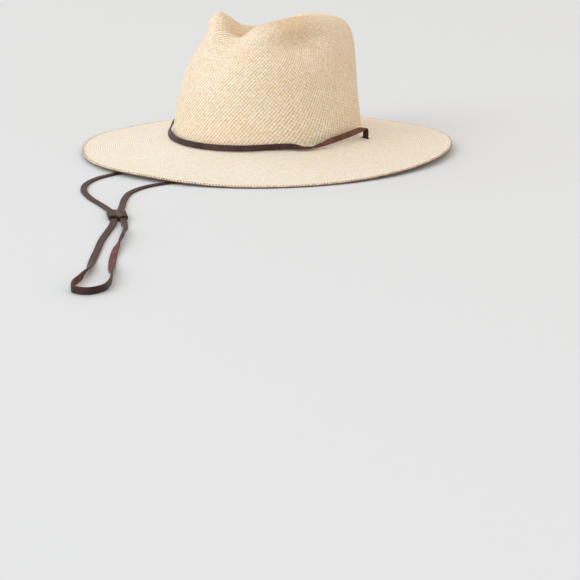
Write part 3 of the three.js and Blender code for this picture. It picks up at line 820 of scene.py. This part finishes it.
def slider_sleeve():
    """The keeper: one strip of leather wrapped round both runs, drawn in where it is pressed
    together between them, its end lapped over on top. Outer and inner contours are carried along
    its course and joined at both ends."""
    turn = np.linspace(0.0, 2 * math.pi, SLIDER_POINTS, endpoint=False)
    side, rise = flattened(turn, SLIDER_ROUND)
    across = SLIDER_WIDTH / 2 * side
    drawn_in = SLIDER_WAIST * np.exp(-((across / SLIDER_WAIST_REACH) ** 2))
    lap = SLIDER_LAP * smooth((SLIDER_LAP_PLACE - across) / SLIDER_LAP_EDGE)
    on_top = smooth(rise / SLIDER_LAP_TURN)
    up = (SLIDER_THICKNESS / 2 - drawn_in) * rise + lap * on_top
    inner_across = (SLIDER_WIDTH / 2 - SLIDER_WALL) * side
    neck = 1 - (1 - SLIDER_NECK) * np.exp(-((inner_across / SLIDER_NECK_REACH) ** 4))
    inner_up = SLIDER_CHANNEL / 2 * rise * neck
    share = np.linspace(0.0, 1.0, SLIDER_ROWS)[:, None]
    from_end = np.minimum(1, np.minimum(share, 1 - share) / SLIDER_END_SHARE)
    lift = 1.0 - SLIDER_END_ROUND * (1 - from_end) ** 2
    slant = SLIDER_SLANT * across / SLIDER_WIDTH
    outer = slider_place(share * SLIDER_LENGTH + slant, across * lift, up * lift)
    slant = SLIDER_SLANT * inner_across / SLIDER_WIDTH
    inner = slider_place(share[::-1] * SLIDER_LENGTH + slant, inner_across, inner_up)
    points = np.concatenate([outer, inner])
    count = len(points)
    length = np.concatenate([share, share[::-1]])[:, 0] * SLIDER_LENGTH
    length = np.append(length, 0.0)
    over = np.linspace(0.0, 1.0, SLIDER_POINTS + 1)
    uv = np.stack(np.broadcast_arrays(length[:, None], over[None, :]), -1)
    face_rows = [(n, (n + 1) % count) for n in range(count)]
    return grid_piece("slider_sleeve", points, face_rows, uv[:-1], uv[1:])


def slider_place(along, across, up):
    """A place on the slider: along its course from its entry, across it level, and up."""
    course = unit(np.array(SLIDER_COURSE))
    along, across, up = np.broadcast_arrays(along, across, up)
    x = SLIDER_ENTRY[0] + course[0] * along - course[1] * across
    y = SLIDER_ENTRY[1] + course[1] * along + course[0] * across
    return np.stack([x, y, SLIDER_MIDDLE + up], -1)


# Materials

def linear(hex_colour):
    """An sRGB hex colour as linear RGBA."""
    channels = [int(hex_colour[i : i + 2], 16) / 255 for i in (1, 3, 5)]
    made = [c / 12.92 if c <= 0.04045 else ((c + 0.055) / 1.055) ** 2.4 for c in channels]
    return (*made, 1.0)


def add(tree, kind, *inputs, sockets=None, **settings):
    """Add a node with its settings. Inputs come in order or by socket name: a value, a node (its
    first output), another node's socket, or None to leave one as it is."""
    made = tree.nodes.new("ShaderNode" + kind)
    for name, value in settings.items():
        setattr(made, name, value)
    named = [(made.inputs[name], given) for name, given in (sockets or {}).items()]
    for socket, given in list(zip(made.inputs, inputs)) + named:
        if isinstance(given, bpy.types.Node):
            tree.links.new(given.outputs[0], socket)
        elif isinstance(given, bpy.types.NodeSocket):
            tree.links.new(given, socket)
        elif given is not None:
            socket.default_value = given
    return made


def start_material(name):
    """A material with an empty node tree, and its surface shader joined to its output."""
    made = bpy.data.materials.new(name)
    made.use_nodes = True
    tree = made.node_tree
    tree.nodes.clear()
    shader = add(tree, "BsdfPrincipled")
    add(tree, "OutputMaterial", shader)
    return made, tree, shader


def eased(tree, value, low, high, to_low=0.0, to_high=1.0):
    """A value eased from one range to another."""
    return add(tree, "MapRange", value, low, high, to_low, to_high,
               interpolation_type="SMOOTHSTEP")


def noise(tree, place, scale_and_detail):
    """Soft noise at a place."""
    scale, detail = scale_and_detail
    return add(tree, "TexNoise", sockets={"Vector": place, "Scale": scale, "Detail": detail})


def strand_mesh(tree, coordinates, levels):
    """A square mesh of strands from strand coordinates U and V. A strand runs wherever sin(pi V) or
    sin(pi U) is large, and their product says which of the two passes over. Gives the height of the
    upper strand, whether it is one of the V strands, and both numbers of its cell."""
    parts = add(tree, "SeparateXYZ", coordinates)
    swings = []
    for part in parts.outputs[:2]:
        turned = add(tree, "Math", part, math.pi, operation="MULTIPLY")
        swings.append(add(tree, "Math", turned, operation="SINE"))
    crossing = add(tree, "Math", swings[0], swings[1], operation="MULTIPLY")
    heights = []
    for swing, level, share in (
        (swings[1], levels[0], levels[2]),
        (swings[0], levels[1], -levels[2]),
    ):
        size = add(tree, "Math", swing, operation="ABSOLUTE")
        over = add(tree, "Math", crossing, share, level, operation="MULTIPLY_ADD")
        heights.append(add(tree, "Math", size, over, operation="MULTIPLY"))
    height = add(tree, "Math", heights[0], heights[1], operation="MAXIMUM")
    is_v = add(tree, "Math", heights[0], heights[1], operation="GREATER_THAN")
    return height, is_v, parts


def strand_tone(tree, parts, is_v):
    """A tone of its own for each strand over a stretch of its length, from white noise."""
    tones = []
    for own, along in ((parts.outputs[1], parts.outputs[0]), (parts.outputs[0], parts.outputs[1])):
        strand = add(tree, "Math", own, operation="FLOOR")
        stretch = add(tree, "Math", along, STRETCH_CELLS, operation="DIVIDE")
        stretch = add(tree, "Math", stretch, operation="FLOOR")
        cell = add(tree, "CombineXYZ", strand, stretch)
        tones.append(add(tree, "TexWhiteNoise", cell, noise_dimensions="2D"))
    return add(tree, "Mix", is_v, None, tones[1].outputs[0], tones[0].outputs[0])


def straw_material(name, gap, strands, levels, relief, edge_shade=None, pinch_shade=None):
    """Split palm straw, woven by hand and bleached: matt ribbons with a faint gloss along them,
    each a little lighter or darker than the next, and painted warm shadow in the holes between
    them. Painted shade darkens the crown's straw above the left pinch, and painted shade browns the
    border's lower side."""
    made, tree, shader = start_material(name)
    pattern = add(tree, "UVMap", uv_map=PATTERN_UV)
    place = add(tree, "TexCoord").outputs["Object"]
    wander = noise(tree, place, WANDER_NOISE)
    off = add(tree, "VectorMath", wander.outputs["Color"], (0.5, 0.5, 0.5), operation="SUBTRACT")
    off = add(tree, "VectorMath", off, sockets={"Scale": STRAND_WANDER}, operation="SCALE")
    moved = add(tree, "VectorMath", pattern, off, operation="ADD")
    height, is_v, parts = strand_mesh(tree, moved, levels)
    tone = strand_tone(tree, parts, is_v)
    colour = add(tree, "MixRGB", tone, linear(strands[0]), linear(strands[1]))
    patch = eased(tree, noise(tree, place, PATCH_NOISE), PATCHES[0], PATCHES[1], 0.0, PATCHES[2])
    colour = add(tree, "MixRGB", patch, colour, linear(strands[2]))
    uneven = noise(tree, place, UNEVEN_NOISE)
    filled = add(tree, "Math", uneven, UNEVEN_FILL, height, operation="MULTIPLY_ADD")
    low, high = (level + UNEVEN_FILL / 2 for level in GAP_CLOSES)
    closed = eased(tree, filled, low, high)
    colour = add(tree, "MixRGB", closed, linear(gap), colour)
    # Painted shade: the border's lower side mixed towards brown
    if edge_shade:
        below = eased(tree, parts.outputs[0], edge_shade[0], edge_shade[1], edge_shade[2], 0.0)
        colour = add(tree, "MixRGB", below, colour, linear(edge_shade[3]))
    # Painted shade: the crown's straw darkened round a place above the left pinch
    if pinch_shade:
        away = add(tree, "VectorMath", place, pinch_shade[0], operation="DISTANCE")
        near = eased(tree, away.outputs["Value"], 0.0, pinch_shade[1], 1.0, 0.0)
        colour = add(tree, "MixRGB", near, colour, linear(pinch_shade[2]), blend_type="MULTIPLY")
    bump = add(tree, "Bump", sockets={"Strength": 1.0, "Distance": relief, "Height": height})
    tree.links.new(colour.outputs[0], shader.inputs["Base Color"])
    tree.links.new(bump.outputs[0], shader.inputs["Normal"])
    shader.inputs["Roughness"].default_value = STRAW_ROUGHNESS
    shader.inputs["IOR"].default_value = STRAW_IOR
    shader.inputs["Subsurface Weight"].default_value = STRAW_THROUGH
    shader.inputs["Subsurface Scale"].default_value = STRAW_DEPTH
    shader.inputs["Subsurface Radius"].default_value = STRAW_DEPTH_SHARES
    return made


def leather_material(name, grain_low, grain_high, flesh_low, flesh_high, roughness):
    """Vegetable-tanned leather, dyed and rolled: a fine pebbled grain with a soft gloss on one
    side, and on the other the redder, rougher flesh, told apart by the way round the section."""
    made, tree, shader = start_material(name)
    pattern = add(tree, "UVMap", uv_map=PATTERN_UV)
    place = add(tree, "TexCoord").outputs["Object"]
    parts = add(tree, "SeparateXYZ", pattern)
    from_back = add(tree, "Math", parts.outputs[1], 0.5, operation="SUBTRACT")
    from_back = add(tree, "Math", from_back, operation="ABSOLUTE")
    flesh = eased(tree, from_back, FLESH_EDGE[0], FLESH_EDGE[1], 1.0, 0.0)
    tone = eased(tree, noise(tree, place, LEATHER_NOISE), *CLOUD_RANGE)
    grain = add(tree, "MixRGB", tone, linear(grain_low), linear(grain_high))
    back = add(tree, "MixRGB", tone, linear(flesh_low), linear(flesh_high))
    colour = add(tree, "MixRGB", flesh, grain, back)
    pebble = add(tree, "TexVoronoi", sockets={"Vector": place, "Scale": 1 / GRAIN_SIZE})
    fibre = noise(tree, place, FIBRE_NOISE)
    relief = add(tree, "Mix", flesh, None, pebble, fibre)
    bump = add(tree, "Bump", sockets={
        "Strength": LACE_GRAIN, "Distance": GRAIN_DEPTH, "Height": relief
    })
    gloss = eased(tree, flesh, 0.0, 1.0, roughness, FLESH_ROUGHNESS)
    tree.links.new(colour.outputs[0], shader.inputs["Base Color"])
    tree.links.new(bump.outputs[0], shader.inputs["Normal"])
    tree.links.new(gloss.outputs[0], shader.inputs["Roughness"])
    shader.inputs["Specular IOR Level"].default_value = LEATHER_GLOSS
    return made


def keeper_material():
    """The same leather cut as a strip and lapped over itself: the upper end browner and more rubbed
    than the lower one, with a painted highlight as a paler line along the cut edge between them."""
    made, tree, shader = start_material("lapped_keeper_leather")
    place = add(tree, "TexCoord").outputs["Object"]
    parts = add(tree, "SeparateXYZ", add(tree, "UVMap", uv_map=PATTERN_UV))
    tone = eased(tree, noise(tree, place, KEEPER_NOISE), *CLOUD_RANGE)
    upper = add(tree, "MixRGB", tone, linear("#33241b"), linear("#45342a"))
    lower = add(tree, "MixRGB", tone, linear("#321e1d"), linear("#432b2b"))
    lapped = eased(tree, parts.outputs[1], KEEPER_LAP[0], KEEPER_LAP[1])
    colour = add(tree, "MixRGB", lapped, lower, upper)
    # Painted highlight: a paler line along the lap's cut edge
    from_edge = add(tree, "Math", parts.outputs[1], KEEPER_LAP[1], operation="SUBTRACT")
    from_edge = add(tree, "Math", from_edge, operation="ABSOLUTE")
    edge = eased(tree, from_edge, 0.0, KEEPER_HIGHLIGHT_REACH, 0.5, 0.0)
    colour = add(tree, "MixRGB", edge, colour, linear("#6e564d"))
    pebble = add(tree, "TexVoronoi", sockets={"Vector": place, "Scale": 1 / GRAIN_SIZE})
    bump = add(tree, "Bump", sockets={
        "Strength": KEEPER_GRAIN, "Distance": GRAIN_DEPTH, "Height": pebble
    })
    tree.links.new(colour.outputs[0], shader.inputs["Base Color"])
    tree.links.new(bump.outputs[0], shader.inputs["Normal"])
    shader.inputs["Roughness"].default_value = KEEPER_ROUGHNESS
    shader.inputs["Specular IOR Level"].default_value = LEATHER_GLOSS
    return made


# Stage, light and camera

def stage_floor():
    """A wide pale floor, a little below the brim's edge."""
    half = FLOOR_HALF
    mesh = bpy.data.meshes.new("floor")
    corners = [(-half, -half, -FLOOR_DROP), (half, -half, -FLOOR_DROP),
               (half, half, -FLOOR_DROP), (-half, half, -FLOOR_DROP)]
    mesh.from_pydata(corners, [], [(0, 1, 2, 3)])
    floor = bpy.data.objects.new("floor", mesh)
    bpy.context.scene.collection.objects.link(floor)
    made, _, shader = start_material("pale_floor")
    shader.inputs["Base Color"].default_value = linear("#d6dbdc")
    shader.inputs["Roughness"].default_value = FLOOR_ROUGHNESS
    mesh.materials.append(made)


def soft_light(name, place, size, power, colour):
    """A square area light that looks at the middle of the hat."""
    data = bpy.data.lights.new(name, "AREA")
    data.size = size
    data.energy = power
    data.color = linear(colour)[:3]
    light = bpy.data.objects.new(name, data)
    light.location = place
    light.rotation_euler = (LIGHT_AIM - Vector(place)).to_track_quat("-Z", "Y").to_euler()
    bpy.context.scene.collection.objects.link(light)


def studio():
    """A pale room, brighter and cooler on the side of the window, and a large soft light there."""
    scene = bpy.context.scene
    world = bpy.data.worlds.new("studio")
    world.use_nodes = True
    tree = world.node_tree
    tree.nodes.clear()
    direction = add(tree, "TexCoord").outputs["Generated"]
    side = add(tree, "VectorMath", direction, ROOM_BRIGHT_SIDE, operation="DOT_PRODUCT")
    share = eased(tree, side.outputs["Value"], -1.0, 1.0)
    cool = eased(tree, side.outputs["Value"], -1.0, ROOM_WARM_TO)
    colour = add(tree, "MixRGB", cool, linear(ROOM_COLOURS[0]), linear(ROOM_COLOURS[1]))
    strength = eased(tree, share, 0.0, 1.0, ROOM_STRENGTH[0], ROOM_STRENGTH[1])
    add(tree, "OutputWorld", add(tree, "Background", colour, strength))
    scene.world = world
    soft_light("key_light", KEY_PLACE, KEY_SIZE, KEY_POWER, "#fafbff")
    scene.view_settings.view_transform = "Standard"


def camera():
    """The camera where the photograph was taken from."""
    data = bpy.data.cameras.new("camera")
    data.sensor_width = SENSOR_MM
    data.lens = FOCAL_PIXELS / PICTURE_PIXELS * SENSOR_MM
    seen_from = bpy.data.objects.new("camera", data)
    seen_from.location = CAMERA_PLACE
    seen_from.rotation_euler = Vector(CAMERA_AIM).to_track_quat("-Z", "Y").to_euler()
    bpy.context.scene.collection.objects.link(seen_from)
    bpy.context.scene.camera = seen_from


def finish_piece(piece, materials, node=None):
    """Give a piece its materials and its body, and hide the node that it replaces."""
    for material in materials:
        piece.data.materials.append(material)
    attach(piece, "root")
    if node:
        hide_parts(node)


camera()
chin_run, chin_path, chin_length = chin_lace()
keeper = slider_sleeve()
lace_leather = leather_material(
    "dyed_lace_leather", "#2f1b16", "#422a23", "#5c3a33", "#744c43", LACE_ROUGHNESS
)
keeper_leather = keeper_material()
finish_piece(chin_run, [lace_leather], "chin_lace")
finish_piece(keeper, [keeper_leather], "slider")

# The crown's straw carries painted shade above the left pinch
crown_straw = straw_material(
    "woven_crown_straw", "#cdb189", ("#e9d9be", "#f3e8d6", "#e9d6b5"), CROWN_LEVELS, CROWN_RELIEF,
    pinch_shade=PAINTED_PINCH_SHADE
)
brim_straw = straw_material(
    "woven_brim_straw", "#d8ccb1", ("#eae2d1", "#f3eee4", "#e9e1ce"), BRIM_LEVELS, BRIM_RELIEF
)
# The border's straw carries painted shade on its lower side
border_straw = straw_material(
    "braided_border_straw", "#7d5530", ("#e9dcc4", "#f2e8d8", "#e6d8bc"), BORDER_LEVELS,
    BORDER_RELIEF, edge_shade=BORDER_PAINTED_SHADE
)
woven_body = straw_body()
finish_piece(woven_body, [crown_straw, brim_straw], "straw_body")
cut_slots(woven_body)
finish_piece(brim_border(), [border_straw])
crown_band = crown_lace()[0]
finish_piece(crown_band, [lace_leather], "crown_lace")

stage_floor()
studio()
